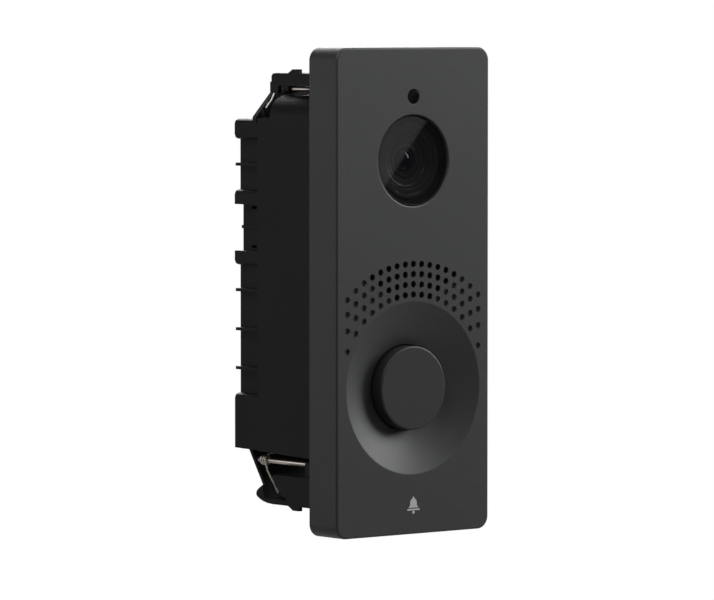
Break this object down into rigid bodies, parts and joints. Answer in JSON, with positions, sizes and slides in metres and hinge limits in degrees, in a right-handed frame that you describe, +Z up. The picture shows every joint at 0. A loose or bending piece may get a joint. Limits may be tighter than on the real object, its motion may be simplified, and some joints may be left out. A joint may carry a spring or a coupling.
{
  "type": "video doorbell",
  "caption": "Flush-mounted video doorbell with a camera window, a call button in a conical dish, a speaker grille and a back box with spring clamp wings.",
  "frame": {"origin": "centre of the front plate's rear face, on the wall's surface", "axes": "+Z up along the plate's height, +Y into the wall, +X to the right as seen from the front"},
  "size_m": [0.084, 0.0782, 0.2064],
  "materials": {
    "coated_metal": "fine satin powder coat",
    "black_plastic": "satin moulded",
    "window_glass": "tinted, polished",
    "lens_glass": "coated, polished",
    "dark_gloss": "polished",
    "seal_rubber": "matt",
    "circuit_board": "solder mask",
    "chip_plastic": "matt",
    "speaker_cloth": "woven",
    "speaker_paper": "pressed paper",
    "nickel": "satin nickel",
    "tinned_steel": "tinned",
    "spring_steel": "bright drawn wire",
    "terminal_plastic": "moulded"
  },
  "bodies": {
    "housing": {"back_box": "black_plastic", "bottom_wing_pin": "spring_steel", "bottom_wing_spring": "spring_steel", "button_retainer": "black_plastic", "button_seal": "seal_rubber", "button_spring": "spring_steel", "button_switch": "chip_plastic", "cable_grommet": "seal_rubber", "camera_board": "circuit_board", "camera_holder": "black_plastic", "camera_screw_1": "spring_steel", "camera_screw_2": "spring_steel", "camera_shroud": "black_plastic", "camera_window": "window_glass", "cover_screw_1": "spring_steel", "cover_screw_2": "spring_steel", "cover_screw_3": "spring_steel", "cover_screw_4": "spring_steel", "cover_seal": "seal_rubber", "frame_screw_1": "spring_steel", "frame_screw_2": "spring_steel", "frame_screw_3": "spring_steel", "frame_screw_4": "spring_steel", "front_plate": "coated_metal", "image_sensor": "dark_gloss", "lens_barrel": "black_plastic", "lens_front_element": "lens_glass", "light_sensor": "chip_plastic", "main_board": "circuit_board", "microphone": "tinned_steel", "microphone_boot": "seal_rubber", "mounting_frame": "tinned_steel", "network_socket": "tinned_steel", "network_transformer": "chip_plastic", "plate_lock_screw": "spring_steel", "processor": "chip_plastic", "processor_shield": "tinned_steel", "retainer_screw_1": "spring_steel", "retainer_screw_2": "spring_steel", "retainer_screw_3": "spring_steel", "sensor_window": "dark_gloss", "speaker_cone": "speaker_paper", "speaker_frame": "black_plastic", "speaker_gasket": "seal_rubber", "speaker_magnet": "nickel", "speaker_mesh": "speaker_cloth", "supply_capacitor_1": "nickel", "supply_capacitor_2": "nickel", "terminal_block": "terminal_plastic", "top_wing_pin": "spring_steel", "top_wing_spring": "spring_steel", "unit_cover": "black_plastic", "wall_gasket": "seal_rubber", "window_seal": "seal_rubber"},
    "button": {"button_cap": "coated_metal", "switch_plunger": "nickel"},
    "top_wing": {"top_wing": "black_plastic"},
    "bottom_wing": {"bottom_wing": "black_plastic"}
  },
  "joints": [
    {"name": "button_press", "type": "slide", "parent": "housing", "child": "button", "axis": [0, 1, 0], "range_m": [0, 0.0012], "stiffness_N_per_m": 600, "springref_m": -0.003, "deforming": ["button_spring"]},
    {"name": "top_wing_hinge", "type": "hinge", "parent": "housing", "child": "top_wing", "pos_m": [-0.0228, 0, 0.0854], "axis": [0, 1, 0], "range_deg": [0, 6], "stiffness_Nm_per_rad": 0.08, "springref_deg": -45.84, "deforming": ["top_wing_spring"]},
    {"name": "bottom_wing_hinge", "type": "hinge", "parent": "housing", "child": "bottom_wing", "pos_m": [-0.031, 0, -0.074], "axis": [0, -1, 0], "range_deg": [0, 8], "stiffness_Nm_per_rad": 0.08, "springref_deg": -45.84, "deforming": ["bottom_wing_spring"]}
  ]
}
